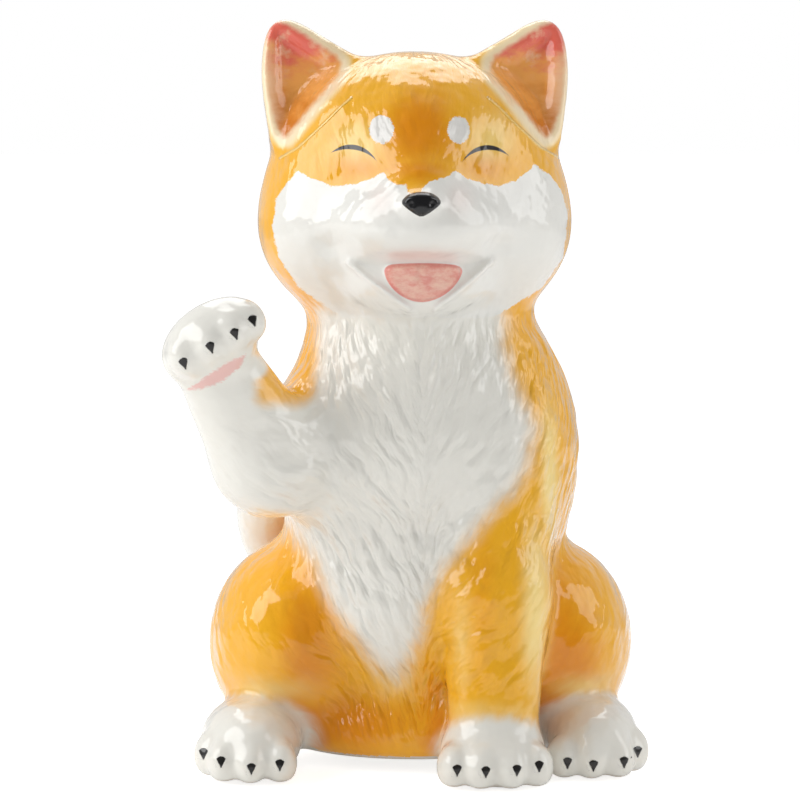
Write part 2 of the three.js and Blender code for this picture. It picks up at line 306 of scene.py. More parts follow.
# A paw: its middle and radii, its toes' radii and middles from the dog's right to its left, each toe's claw
# in X and Z, and its tilt.
Paw = namedtuple("Paw", "middle radii toe toes claws tilt", defaults=[(0, 0, 0)])
TOE = (5.6, 8.2, 7.4)
FRONT_PAW = Paw((22.5, -45, 8.5), (17.2, 19, 12), TOE,
                [(9.3, -55, 7), (17.6, -58.5, 7), (27.4, -58.5, 7), (35.8, -55, 7)],
                [(10.1, 6.7), (19.1, 6.7), (29.1, 7.2), (36.5, 7.8)])
RIGHT_FOOT = Paw((-55.8, -22, 11), (16.6, 28, 14), TOE,
                 [(-69, -34, 8), (-64.6, -42, 7), (-56.2, -45.5, 7), (-46.6, -44, 7)],
                 [(-71.5, 9.0), (-65.7, 7.7), (-55.9, 6.0), (-46.7, 6.9)])
LEFT_FOOT = Paw((57, -20, 11), (15.4, 28, 14), TOE,
                [(46.2, -40, 7), (54.8, -42, 7), (63.8, -40, 7), (69.2, -32, 8)],
                [(47.0, 6.1), (55.3, 5.5), (65.5, 6.2), (70.8, 8.2)])
RAISED_PAW = Paw((-68, -53, 145.2), (17.6, 13.5, 11.4), (5.0, 6.4, 6.2),
                 [(-76.2, -60, 140), (-68.6, -62.5, 144.2), (-61.4, -61.5, 148.4), (-56.2, -57, 151.4)],
                 [(-76.8, 138.2), (-68.3, 143.4), (-60.6, 147.6), (-54.9, 151.5)], (0, -33, 0))
CLAW_LEAN = 18  # of the raised paw's claws, in degrees
PAWS = (FRONT_PAW, RIGHT_FOOT, LEFT_FOOT, RAISED_PAW)
# The tail's route, with the radius as the last number.
TAIL = [(0, 56, 14, 13.5), (-11, 68, 31, 15.5), (-30, 69, 52, 16), (-44, 56, 70, 14), (-47.5, 40, 84, 11),
        (-41, 27, 93, 8), (-33, 21, 97, 5)]
PAD_PLACES = {"pad_front_paw": (25, -49), "pad_hind_right": (-55, -24),
              "pad_hind_left": (57.5, -22), "pad_tail_root": (0, 57)}
PAD_SEAT_RADIUS = 6.4
MOUTH = [(-24, 169.2), (-18, 172.6), (-1.5, 173.6), (15.5, 172.6), (21.5, 169.4), (11.5, 161), (1.6, 154.8),
         (-4.2, 154.8), (-14, 161)]
TONGUE = [(-13.4, 168.6), (-6, 169.2), (5, 169.2), (12.6, 168.2), (11, 163.4), (6, 158.4), (-1.4, 156.2),
          (-8, 158.6), (-12.4, 163.4)]
TONGUE_GROOVE = [(-1.6, 168.4), (-2.2, 164.5)]
LIPS = [[(-24.5, 168.8), (-13.5, 160.6), (-5, 154.2)], [(21.8, 169.2), (11.5, 160.6), (3.6, 154.2)]]
NOSE = [(-8.2, 188.7), (-6.6, 190.9), (-3.8, 192.1), (0.7, 192.1), (3.3, 190.9), (4.9, 188.7), (3, 186.9),
        (0.6, 185.2), (-1.7, 184.1), (-3.9, 185.2), (-6.3, 186.9)]
NOSTRILS = [(-5.6, 24), (2.3, -24)]  # X, and the tilt in degrees
DIMPLES = [(-28.5, 174.6), (23.4, 175.4)]
EYE_MOUNDS = [(-22.5, 200.5), (20.5, 200.5)]


def core(clay):
    """The hollow masses: torso, neck, haunches and head."""
    clay.add(limb((0, -2, 112), (0, 2, 160), 42, 33.5), 12)
    clay.add(ball((0, -5, 106), (46.5, 43.5, 42)), 12)
    clay.add(ball((0, 6, 60), (47, 50, 44)), 16)
    clay.add(ball((0, 24, 38), (48, 46, 36)), 16)
    clay.add(ball((24, -4, 104), (28, 36, 46)), 14)
    clay.add(ball((0, 11, 13), (47, 45, 27)), 10)
    clay.add(ball((-40, 9, 39), (29.8, 43, 34.5), (-14, 0, 0)), 7)
    clay.add(ball((43, 9, 39), (30, 43, 34.5), (-14, 0, 0)), 7)
    clay.add(ball((HEAD_X, 0, 190), (49, 44.5, 41)), 9)
    clay.add(ball((HEAD_X, 0, 207), (41, 39, 29)), 14)
    for side in (-1, 1):
        clay.add(ball((HEAD_X + side * 25.5, -6, 178), (25, 31, 24.5)), 12)
    return clay.add(ball((HEAD_X, -30, 181), (27, 26, 17)), 14)


def bump(middle, radii, height):
    """A soft round swelling on the front, as a depth for Clay.press; a negative height is a dimple."""

    def depth(x, z):
        return -height * np.exp(-((x - middle[0]) / radii[0]) ** 2 - ((z - middle[1]) / radii[1]) ** 2)

    return depth


def inlay(outline, depth, bank):
    """A field sunk inside an outline, with banks of the given width; a negative depth raises it."""
    return lambda x, z: depth * np.clip(-outline_distance(outline, x, z) / bank, 0, 1)


def ridge(path, height, width):
    """A raised line along a path; a negative height is a groove."""
    return lambda x, z: -height * np.exp(-(path_distance(path, x, z) / width) ** 2)


def face(clay):
    """Snout, mouth, tongue and nose, on the front of the head."""
    clay.add(limb((HEAD_X, -30, 206), (HEAD_X, -50, 190.5), 12, 8.5), 14)
    clay.add(ball((HEAD_X, -38, 181.2), (25.5, 24.5, 11.3)), 9)
    clay.add(ball((HEAD_X, -32, 163.6), (22.5, 20.5, 12.6)), 7)
    low, high = (-34, -80, 148), (32, -28, 178)
    clay.press(low, high, inlay(rounded(MOUTH), depth=1.7, bank=4.5))
    for path in LIPS:
        clay.press(low, high, ridge(spline(path, 6), height=1.7, width=1.25))
    clay.press(low, high, inlay(rounded(TONGUE), depth=-1.5, bank=1.3))
    clay.press(low, high, ridge(TONGUE_GROOVE, height=-0.5, width=0.9))
    for middle in DIMPLES:
        clay.press((-50, -80, 160), (48, -25, 190), bump(middle, radii=(5.5, 4), height=-1.7))
    for middle in EYE_MOUNDS:
        clay.press((-45, -80, 185), (43, -20, 216), bump(middle, radii=(7.5, 4.5), height=0.9))
    clay.add(ball((-1.7, -59.5, 188), (6.6, 5.2, 4.4)), 3)
    clay.press((-12, -80, 180), (8, -50, 196), inlay(rounded(NOSE, 1), depth=-1.1, bank=0.9))
    for x, turn in NOSTRILS:
        clay.carve(ball((x, -66.3, 188.5), (1.9, 1.9, 1.25), (0, turn, 0)), 0.7)


def paw(clay, spec):
    """A paw's pad and its four toes."""
    clay.add(ball(spec.middle, spec.radii, spec.tilt), 6)
    for toe in spec.toes:
        clay.add(ball(toe, spec.toe, spec.tilt), 2.6)


def limbs(clay):
    """The standing foreleg, the raised foreleg, the paws and the tail."""
    clay.add(limb((24, -22, 108), (24, -37, 60), 20, 17), 9)
    clay.add(limb((24, -37, 60), (23, -41, 16), 17, 14.5), 6)
    clay.add(limb((-26, -14, 109), (-49, -33, 105.5), 24, 18.3), 8)
    clay.add(limb((-50, -34, 105.5), (-67, -46, 137), 18, 13.2), 6)
    for spec in PAWS:
        paw(clay, spec)
    route = spline(TAIL, 4)
    for start, end in zip(route, route[1:]):
        clay.add(limb(start[:3], end[:3], start[3], end[3]), 3)


def flattened(field, height, edge):
    """The field cut level at a height, with a rounded edge."""
    return -smooth_min(-field, height, edge)


def figure(axes):
    """The whole ceramic shell, and the masses of head and body that it was hollowed from."""
    masses = core(Clay(axes))
    clay = deepcopy(masses)
    z = axes[2][None, None, :] + 0 * clay.field
    clay.field = flattened(clay.field, z - BELLY, 5)
    for side in (-1, 1):
        clay.add(ear(side), 4)
    face(clay)
    limbs(clay)
    clay.field = flattened(clay.field, z - PAD_STAND, 2.5)
    inside = flattened(masses.field + WALL, z - (UNDERSIDE + WALL), 3)
    clay.field = -smooth_min(-clay.field, inside, 0.5)
    clay.carve(column((0, HOLE_BACK), RECESS_RADIUS, -20, UNDERSIDE), 1.0)
    clay.carve(column((0, HOLE_BACK), HOLE_RADIUS, -20, UNDERSIDE + 3 * WALL), 1.0)
    half, low, high = SLOT_LENGTH / 2, SLOT_HEIGHT - SLOT_WIDTH / 2, SLOT_HEIGHT + SLOT_WIDTH / 2
    clay.carve(brick([-half, 12, low], [half, 70, high], 2), 1.8)
    for place in PAD_PLACES.values():
        clay.carve(column(place, PAD_SEAT_RADIUS, -20, 2), 0.4)
    return clay, masses


# ---- skin: surface nets


def skin(clay):
    """Quads over the zero surface of the clay: (points, quads)."""
    solid = clay.field < 0
    nx, ny, nz = np.array(solid.shape) - 1
    corners = sum(solid[i:nx + i, j:ny + j, k:nz + k].astype(np.uint8)
                  for i in (0, 1) for j in (0, 1) for k in (0, 1))
    active = (corners > 0) & (corners < 8)
    number = np.full(active.shape, -1, np.int32)
    number[active] = np.arange(active.sum())
    total, count = np.zeros((active.sum(), 3)), np.zeros(active.sum())
    quads = []
    for axis in range(3):
        one, two = [k for k in range(3) if k != axis]
        behind, ahead = [slice(None)] * 3, [slice(None)] * 3
        behind[axis], ahead[axis] = slice(None, -1), slice(1, None)
        edges = np.argwhere(solid[tuple(behind)] != solid[tuple(ahead)])
        edges = edges[(edges[:, one] > 0) & (edges[:, two] > 0)]
        here = tuple(edges.T)
        start, end = clay.field[tuple(behind)][here], clay.field[tuple(ahead)][here]
        crossing = np.stack([lines[at] for lines, at in zip(clay.axes, here)], 1)
        crossing[:, axis] += start / (start - end) * np.diff(clay.axes[axis])[here[axis]]
        around = []
        for da, db in ((0, 0), (1, 0), (1, 1), (0, 1)):
            cell = edges.copy()
            cell[:, one] -= da
            cell[:, two] -= db
            around.append(number[tuple(cell.T)])
            np.add.at(total, around[-1], crossing)
            np.add.at(count, around[-1], 1)
        quad = np.stack(around, 1)
        outward = start < 0
        if axis == 1:
            outward = ~outward
        quad[~outward] = quad[~outward, ::-1]
        quads.append(quad)
    return total / count[:, None], np.concatenate(quads)


RELAX_ROUNDS = 3
RELAX_SHARE = 0.6  # of the way to the middle of a point's neighbours
PULL_ROUNDS = 2  # more rounds that only pull the points to the surface
PULL_LIMIT = 0.5  # how far one round may pull a point


def relax(clay, points, quads):
    """Evens out the quads, and puts each point exactly on the surface."""
    for turn in range(RELAX_ROUNDS + PULL_ROUNDS):
        if turn < RELAX_ROUNDS:
            total, count = np.zeros_like(points), np.zeros(len(points))
            for k in range(4):
                np.add.at(total, quads[:, k], points[quads[:, (k + 1) % 4]])
                np.add.at(count, quads[:, k], 1)
            move = total / np.maximum(count, 1)[:, None] - points
            normal = clay.normal(points)
            points = points + RELAX_SHARE * (move - normal * (move * normal).sum(1)[:, None])
        slope = clay.slope(points)
        length2 = np.maximum((slope ** 2).sum(1), 0.05)
        pull = slope * (clay.sample(points) / length2)[:, None]
        length = np.linalg.norm(pull, axis=1)
        pull *= np.minimum(1, PULL_LIMIT / np.maximum(length, 1e-6))[:, None]
        points = points - pull
    return points


def mesh_object(name, points, faces):
    """A smooth-shaded mesh object from points in metres."""
    mesh = bpy.data.meshes.new(name)
    mesh.from_pydata(points, [], faces)
    mesh.shade_smooth()
    mesh.validate()
    thing = bpy.data.objects.new(name, mesh)
    bpy.context.scene.collection.objects.link(thing)
    return thing


# ---- where the paint goes
#
# The painted borders are drawn on upright planes and thrown onto the figure from VIEWPOINT, as a projector
# would, once, while the mesh is made. Each vertex keeps its distance to each border.

FAR_OFF = 30.0  # the distance that a vertex keeps where a border is out of reach

CAMERA = {"azimuth": -2.5, "elevation": 4.5, "away": 1200, "target": (-5.7, 0, 121.3), "lens": 161.33}


def camera_back():
    """The direction from the camera's target back to the camera."""
    azimuth, elevation = math.radians(CAMERA["azimuth"]), math.radians(CAMERA["elevation"])
    flat = math.cos(elevation)
    return np.array([math.sin(azimuth) * flat, -math.cos(azimuth) * flat, math.sin(elevation)])


VIEWPOINT = np.array(CAMERA["target"]) + camera_back() * CAMERA["away"]


def thrown(points, plane):
    """X and Z where the line from VIEWPOINT to each point meets the upright plane Y = plane."""
    share = (plane - VIEWPOINT[1]) / (points[:, 1] - VIEWPOINT[1])
    at = VIEWPOINT + (points - VIEWPOINT) * share[:, None]
    return at[:, 0], at[:, 2]


def step(low, high, value):
    """0 at low, 1 at high, smooth between; low may be the larger."""
    t = np.clip((value - low) / (high - low), 0, 1)
    return t * t * (3 - 2 * t)


def spot(at, middle, radii):
    """A soft round patch, 1 at its middle."""
    return np.exp(-sum(((p - m) / r) ** 2 for p, m, r in zip(at, middle, radii)))


FACE_MASK = [(-26, 151), (-40, 160.8), (-46.4, 170.4), (-48.7, 180.4), (-47.3, 189.7), (-40.6, 198.4),
             (-36, 196.2), (-29.5, 193.6), (-23.8, 193.7), (-17, 195.6), (-12.6, 198.1), (-10.8, 195.2),
             (-8.4, 193.9), (-5.4, 194.1), (-4.9, 191.4), (-0.9, 191.2), (0.4, 193.6), (3.2, 195.6),
             (7.2, 196.2), (10.6, 198.2), (14.5, 196), (19.5, 194.3), (24.5, 193.4), (30.3, 195.4),
             (36.2, 200.6), (41, 197), (44.1, 193.2), (46.9, 186), (46.7, 179.3), (45.5, 170.2),
             (38.3, 160.4), (23, 151)]
CHEST_MASK = [(-37, 157), (26, 157), (26.6, 143), (31.2, 127.5), (36.8, 115.9), (33.8, 100.4), (20, 84.2),
              (8, 70.3), (0.9, 57.7), (-0.6, 46.7), (-7.6, 33), (-15, 37), (-23.2, 48), (-31, 60), (-36, 72),
              (-45, 84), (-60, 84), (-95, 118), (-95, 165), (-60, 165), (-51, 139), (-42, 126), (-36, 138)]
BROWS = [((-13.3, 211.7), (4.0, 4.5)), ((11.6, 211.5), (3.6, 4.3))]
EYES = [[(-29.6, 204.2), (-23.4, 206.1), (-14.9, 201.6)], [(12.9, 201.5), (21, 205.9), (27.7, 203.3)]]
PALM = [(-76, 129.2), (-71.5, 129.6), (-64.5, 132.2), (-59, 136.6), (-57.2, 140.4), (-61.5, 138.8),
        (-68, 134.8)]
# The ridge where each ear meets the head: raised a little and painted cream, which also stands for the
# highlight along it.
EAR_CREASE = [(-46, 202.5), (-40, 206), (-32, 213.5), (-26.5, 219), (-23, 222)]
FRONT_PLANE, NOSE_PLANE, EAR_PLANE, CHEST_PLANE, TONGUE_PLANE, PALM_PLANE = -38, -62, -12, -44, -52, -58
CLAW_REACH, NO_CLAW = 2.7, 99.0
NO_EYE_LINE = 999  # an X that no eye line reaches
# Patches of colour: strength, middle and radii in X and Z, and the depths in Y that they fade in between.
# The ochre ones are sprayed paint; some cream ones are sprayed paint and painted highlights at once.
# Those on the head are thrown from VIEWPOINT; the others go straight back.
HEAD_OCHRE = [(0.95, (-1, 212), (12, 13), (0, -14)), (0.75, (-1, 198.5), (10, 5), (0, -14)),
              *((0.5, middle, (9, 5), (0, -14)) for middle in EYE_MOUNDS)]
BODY_OCHRE = [(0.35, (19, 62), (6, 40), (-20, -36)), (0.95, (50, 34), (10, 24), (0, -14)),
              (0.85, (-38, 44), (11, 22), (0, -14)), (0.8, (-22, 16), (26, 10), (0, -14)),
              (0.8, (0, 120), (9, 120), (8, 24))]
# Cream beside the eyes: partly paint, partly a painted highlight where a softbox mirrors in the glaze.
HEAD_CREAM_AND_HIGHLIGHT = [(0.6, (-22, 208), (10, 8), (0, -12)), (0.6, (22, 209), (10, 9), (0, -12))]
# The second and third, down the standing leg's sides, are painted reflections of the side softboxes as well
# as cream paint.
BODY_CREAM_AND_HIGHLIGHT = [(0.8, (41.5, 100), (4, 26), (0, -20)), (0.75, (36, 56), (6, 32), (-14, -30)),
              (0.4, (12, 46), (4, 22), (-30, -44)), (0.55, (-9, 36), (9, 12), (-14, -30))]
PAW_CREAM = [(22.5, -45, 24), (-52, -30, 28), (55, -28, 28)]
FUR_LEAN = math.radians(25)
FUR_RADIUS = 45  # turns an angle around the figure into millimetres
FUR_SIDE_SHIFT = 90  # keeps the two sides' strokes from mirroring each other


def fur_coordinates(p):
    """Millimetres along the strokes, across them, and out from the figure's axis; they run down and in."""
    round_axis = np.abs(np.arctan2(p[:, 0], -(p[:, 1] - 4))) * FUR_RADIUS
    along = -round_axis * math.sin(FUR_LEAN) - p[:, 2] * math.cos(FUR_LEAN)
    across = round_axis * math.cos(FUR_LEAN) - p[:, 2] * math.sin(FUR_LEAN)
    out = np.hypot(p[:, 0], p[:, 1]) + FUR_SIDE_SHIFT * step(-9, 9, p[:, 0])
    return np.stack([along, across, out], 1)


def claw_coordinates(p, facing):
    """X and Z from the nearest claw's middle, thrown onto its toe; far away everywhere else."""
    near = np.full((len(p), 3), NO_CLAW)
    for spec in PAWS:
        lean = math.radians(CLAW_LEAN if any(spec.tilt) else 0)
        for toe, (cx, cz) in zip(spec.toes, spec.claws):
            x, z = thrown(p, toe[1] - 4)
            u, v = x - cx, z - cz
            u, v = u * math.cos(lean) + v * math.sin(lean), v * math.cos(lean) - u * math.sin(lean)
            on_toe = (np.hypot(u, v) < CLAW_REACH) & (facing > 0.1) & (np.abs(p[:, 1] - toe[1]) < 16)
            closer = on_toe & (np.hypot(u, v) < np.hypot(near[:, 0], near[:, 1]))
            near[closer, 0], near[closer, 1] = u[closer], v[closer]
    return near


def fur_amount(p, white_face):
    """How strongly the modelled fur shows: full on chest, belly and legs, little on head, paws and arm."""
    x, y, z = p.T
    amount = step(2, 24, z) * (0.25 + 0.75 * step(158, 140, z))
    amount *= 1 - 0.75 * step(-40, -56, x) * step(80, 100, z)
    amount *= 1 - 0.65 * step(26, 40, np.abs(x)) * step(84, 70, z)
    amount *= 1 - 0.8 * step(-22, -34, x) * step(14, 26, y)
    for spec in PAWS:
        reach = np.linalg.norm((p - spec.middle) / 26, axis=1)
        amount *= step(0.75, 1.15, reach)
    return amount * (1 - 0.8 * white_face * step(144, 160, z))


def edge_in_window(outline, x, z, margin=14):
    """The distance to an outline for the points near it, and FAR_OFF for the others."""
    outline = np.asarray(outline)
    low, high = outline.min(0) - margin, outline.max(0) + margin
    near = (x > low[0]) & (x < high[0]) & (z > low[1]) & (z < high[1])
    found = np.full(len(x), FAR_OFF)
    found[near] = outline_distance(outline, x[near], z[near])
    return found


def tail_share(p):
    """1 on the tail, 0 away from it."""
    route = spline(TAIL, 4)
    gap = np.min([np.linalg.norm(p - at[:3], axis=1) - at[3] for at in route], 0)
    return step(5, 1.5, gap)


def strongest_patch(patches, at, y):
    """The strongest of the patches at each point: sprayed paint, and for some cream patches painted
    highlights as well.
    """
    return np.maximum.reduce([strength * spot(at, middle, radii) * step(*depths, y)
                              for strength, middle, radii, depths in patches])


def white_share(p, facing):
    """1 on the white chest, belly, paws and tail, 0 on the gold coat."""
    x, y, z = p.T
    chest = edge_in_window(CHEST_MASK, *thrown(p, CHEST_PLANE), 60)
    white = step(7, -8, chest) * step(-0.45, 0.05, facing) * step(10, -4, y)
    shoulder = step(-31, -39, x) * step(120, 128, z) * step(-58, -50, x)
    white *= 1 - 0.85 * shoulder
    for spec in PAWS[:3]:
        middle = np.array(spec.middle) + [0, -8, -2]
        reach = np.linalg.norm((p - middle) / [22, 29, 16], axis=1)
        white = np.maximum(white, step(1.3, 0.8, reach))
    reach = np.linalg.norm((p - RAISED_PAW.middle) / [19, 17, 13], axis=1)
    white = np.maximum(white, step(1.4, 1.12, reach))
    return np.clip(np.maximum(white, tail_share(p) * step(32, 46, z)), 0, 1)


def brow_edge(y, front):
    """Roughly the distance to the nearer brow's border."""
    best = np.full(len(y), FAR_OFF)
    for middle, radii in BROWS:
        reach = np.hypot((front[0] - middle[0]) / radii[0], (front[1] - middle[1]) / radii[1])
        best = np.minimum(best, (reach - 1) * min(radii))
    return np.where(y < -10, best, FAR_OFF)


def paint_marks(p, normal, hollow_shade):
    """Every per-vertex mark that the materials read, by name."""
    x, y, z = p.T
    facing = -normal[:, 1]
    front = thrown(p, FRONT_PLANE)

    mask = np.maximum(edge_in_window(FACE_MASK, *front, 60), (y + 7) * 0.8)
    tongue = edge_in_window(rounded(TONGUE), *thrown(p, TONGUE_PLANE))
    tongue = np.maximum(tongue, -(facing - 0.05) * 4)
    nose = np.maximum(edge_in_window(rounded(NOSE, 1), *thrown(p, NOSE_PLANE)), y + 52)
    ears = [edge_in_window(ear_outline(EAR_HOLLOW, side), *thrown(p, EAR_PLANE)) for side in (-1, 1)]
    ear = np.where((y < 8) & (facing > -0.35), np.minimum(*ears), FAR_OFF)
    palm = edge_in_window(PALM, *thrown(p, PALM_PLANE), 6) + np.where(facing > 0, 0, 20)
    crease = path_distance(EAR_CREASE, -np.abs(front[0] - HEAD_X) + HEAD_X, front[1])

    ochre = np.maximum(strongest_patch(HEAD_OCHRE, front, y), strongest_patch(BODY_OCHRE, (x, z), y))
    # Cream paint; beside the eyes and down the standing leg's sides it is also a painted highlight.
    cream = np.maximum(strongest_patch(HEAD_CREAM_AND_HIGHLIGHT, front, y), strongest_patch(BODY_CREAM_AND_HIGHLIGHT, (x, z), y))
    cream = np.maximum(cream, step(5.5, 0.5, ear) * step(-0.5, 0.5, facing))
    for middle in PAW_CREAM:
        cream = np.maximum(cream, 0.6 * spot((x, y, z), middle, (18, 20, 6)))
    face_share = step(4, -2, mask)
    lip = spot(front, (-1.5, 171.2), (12, 2.2)) * step(-30, -44, y)
    blush = sum(spot(front, (side * 13 + HEAD_X, 189.5), (4, 5)) for side in (-1, 1))
    rosy = np.clip(0.9 * lip + 0.45 * blush * face_share, 0, 1)
    return {
        "place": p,
        "fur": fur_coordinates(p),
        "claw": claw_coordinates(p, facing),
        "thrown": np.stack([np.where(y < -15, front[0], NO_EYE_LINE), front[1], 0 * x], 1),
        "edges": np.stack([mask, tongue, nose], 1),
        "borders": np.stack([brow_edge(y, front), ear, palm], 1),
        # the ochre share also holds the painted shade of the hollows
        "tones": np.stack([white_share(p, facing), np.clip(ochre + 0.9 * hollow_shade, 0, 1), cream], 1),
        "details": np.stack([fur_amount(p, face_share), rosy, crease + np.where(y < 0, 0, 20)], 1),
    }


# ---- materials

GLAZE = {
    # The ochre also paints shade in the hollows; the cream also paints highlights beside the eyes, down the
    # standing leg and along the ridges under the ears.
    "gold": (0.94, 0.465, 0.016), "ochre": (0.80, 0.275, 0.002), "cream": (0.99, 0.77, 0.30),
    "rim": (0.97, 0.80, 0.58),
    "white": (0.865, 0.85, 0.785), "mask": (0.87, 0.86, 0.81), "brow": (0.82, 0.80, 0.76),
    # ear_brown also paints the shade deep in the ear's dish; ear_pale partly the light on its outer wall.
    "ear_red": (0.84, 0.16, 0.11), "ear_pale": (0.95, 0.62, 0.40), "ear_brown": (0.66, 0.19, 0.008),
    "ear_orange": (0.94, 0.42, 0.10),
    "tongue": (0.88, 0.56, 0.44), "tongue_dark": (0.72, 0.17, 0.15), "blush": (0.82, 0.55, 0.48),
    "palm": (0.86, 0.36, 0.33),
    "ink": (0.035, 0.033, 0.034), "nose": (0.006, 0.006, 0.007), "claw": (0.012, 0.011, 0.010),
}


GLAZE_FINISH = {"Coat Weight": 1.0, "Coat Roughness": 0.035, "IOR": 1.5, "Specular IOR Level": 0.1}


class Nodes:
    """The nodes of a material or world, built by small calls that take numbers, colours or sockets."""

    def __init__(self, owner, shader="Principled BSDF"):
        owner.use_nodes = True
        self.owner, self.tree = owner, owner.node_tree
        self.shader = self.tree.nodes[shader]

    def put(self, socket, value):
        if isinstance(value, bpy.types.NodeSocket):
            self.tree.links.new(value, socket)
        elif isinstance(value, tuple) and len(value) == 3 and socket.type == "RGBA":
            socket.default_value = (*value, 1)
        else:
            socket.default_value = value

    def node(self, kind, inputs, output=0, **settings):
        made = self.tree.nodes.new("ShaderNode" + kind)
        for key, value in settings.items():
            setattr(made, key, value)
        for key, value in inputs.items():
            self.put(made.inputs[key], value)
        return made.outputs[output]

    def shade(self, finish):
        """Sets or links the shader's own sockets, and gives back the finished material or world."""
        for name, value in finish.items():
            self.put(self.shader.inputs[name], value)
        return self.owner

    def math(self, operation, *values):
        return self.node("Math", dict(enumerate(values)), operation=operation)

    def plus(self, a, b):
        return self.math("ADD", a, b)

    def minus(self, a, b):
        return self.math("SUBTRACT", a, b)

    def times(self, a, b):
        return self.math("MULTIPLY", a, b)

    def madd(self, a, b, c):
        """a times b, plus c."""
        return self.math("MULTIPLY_ADD", a, b, c)

    def step(self, low, high, value):
        """0 at low, 1 at high, smooth between."""
        return self.node("MapRange", {"Value": value, "From Min": low, "From Max": high},
                         interpolation_type="SMOOTHSTEP")

    def mix(self, share, a, b):
        return self.node("Mix", {0: share, 6: a, 7: b}, 2, data_type="RGBA")

    def mark(self, name):
        """A per-vertex mark of the mesh, as a vector."""
        return self.node("Attribute", {}, 1, attribute_name=name, attribute_type="GEOMETRY")

    def split(self, vector):
        made = self.tree.nodes.new("ShaderNodeSeparateXYZ")
        self.put(made.inputs[0], vector)
        return made.outputs

    def marks(self, name):
        """The three numbers of a per-vertex mark."""
        return self.split(self.mark(name))

    def scaled(self, vector, scale):
        return self.node("VectorMath", {0: vector, 1: scale}, operation="MULTIPLY")

    def noise(self, vector, scale, detail=3.0, roughness=0.55):
        """Noise about zero, mostly between -0.5 and 0.5."""
        inputs = {"Vector": vector, "Scale": scale, "Detail": detail, "Roughness": roughness}
        return self.minus(self.node("TexNoise", inputs), 0.5)

    def bump(self, height, strength, distance):
        return self.node("Bump", {"Height": height, "Strength": strength, "Distance": distance})

    def place_in_millimetres(self):
        """The object's own coordinates, which are the row's, in millimetres."""
        return self.scaled(self.node("TexCoord", {}, "Object"), (1000.0, 1000.0, 1000.0))


def circle_through(a, b, c):
    """The middle and radius of the circle through three points."""
    a, b, c = (complex(*point) for point in (a, b, c))
    w = (c - a) / (b - a)
    middle = a + (b - a) * (w - abs(w) ** 2) / (2j * w.imag)
    return (middle.real, middle.imag), abs(a - middle)


def coat_colour(n, streak, blotch):
    """The airbrushed coat: gold, ochre and cream, softly into white; the ochre also paints shade in hollows,
    the cream some highlights.
    """
    white, ochre, cream = n.marks("tones")
    deep = n.madd(streak, 0.4, n.madd(blotch, 0.5, ochre))
    colour = n.mix(n.step(0.02, 0.95, deep), GLAZE["gold"], GLAZE["ochre"])
    pale = n.madd(streak, 0.25, n.madd(blotch, 0.35, cream))
    colour = n.mix(n.step(0.05, 0.95, pale), colour, GLAZE["cream"])
    edge = n.times(white, n.minus(1.0, white))
    ragged = n.times(n.madd(streak, 2.4, n.times(blotch, 1.2)), edge)
    return n.mix(n.step(0.04, 0.96, n.plus(white, ragged)), colour, GLAZE["white"])


def ear_colour(n, colour, streak, place, edge):
    """Red brushed over pale pink at the tip, running through orange to brown at the root of the hollow.
    The brown is also painted shade deep in the dish, and the pale outer wall partly a painted highlight.
    """
    across, _, height = n.split(place)
    brushed = n.noise(n.scaled(place, (0.5, 0.3, 1.0)), 0.16, 5, 0.65)
    high = n.madd(brushed, 26.0, n.madd(streak, 5.0, height))
    outer = n.madd(brushed, 10.0, n.math("ABSOLUTE", n.minus(across, HEAD_X)))
    # Painted shade: brown low in the dish, as well as its own brown paint.
    inner = n.mix(n.step(210, 228, high), GLAZE["ear_brown"], GLAZE["ear_orange"])
    # Pale on the outer wall: pink paint, and partly a painted highlight where that wall catches the light.
    inner = n.mix(n.times(n.step(42, 49, outer), 0.75), inner, GLAZE["ear_pale"])
    inner = n.mix(n.step(230, 241, high), inner, GLAZE["ear_red"])
    patches = n.times(n.step(0.02, 0.22, n.noise(place, 0.17, 4, 0.6)), n.step(226, 238, height))
    inner = n.mix(n.times(patches, 0.7), inner, GLAZE["ear_pale"])
    inside = n.step(0.9, -1.4, n.madd(n.noise(place, 0.4), 1.6, edge))
    rim = n.step(4.2, 1.2, edge)
    return n.mix(inside, n.mix(n.times(rim, 0.8), colour, GLAZE["rim"]), inner)


EYE_LINE_HALF = 0.78


def eye_line(n, thrown_at, points):
    """A tapering brush line along the arc through three points."""
    centre, radius = circle_through(*points)
    x, z, _ = n.split(thrown_at)
    middle, half = (points[0][0] + points[2][0]) / 2, (points[2][0] - points[0][0]) / 2
    away = n.node("VectorMath", {0: thrown_at, 1: (*centre, 0.0)}, "Value", operation="DISTANCE")
    off = n.math("ABSOLUTE", n.minus(away, radius))
    along = n.math("DIVIDE", n.minus(x, middle), half)
    taper = n.minus(1.0, n.times(along, along))
    line = n.minus(n.times(taper, EYE_LINE_HALF), off)
    below = n.step(-2.0, 0.0, n.minus(z, min(points[0][1], points[2][1]) - 1.0))
    return n.times(n.step(-0.12, 0.12, line), below)


def claw_share(n, wobble):
    """A claw: wide and round above, pointed below."""
    u, v, _ = n.marks("claw")
    reach = n.step(-2.4, 1.3, v)
    side = n.minus(n.madd(reach, 1.35, 0.12), n.math("ABSOLUTE", u))
    tip = n.plus(v, 2.0)
    top = n.minus(1.75, n.madd(n.times(u, u), 0.35, v))
    inside = n.math("MINIMUM", n.math("MINIMUM", side, tip), top)
    return n.step(-0.14, 0.14, n.madd(wobble, 0.4, inside))


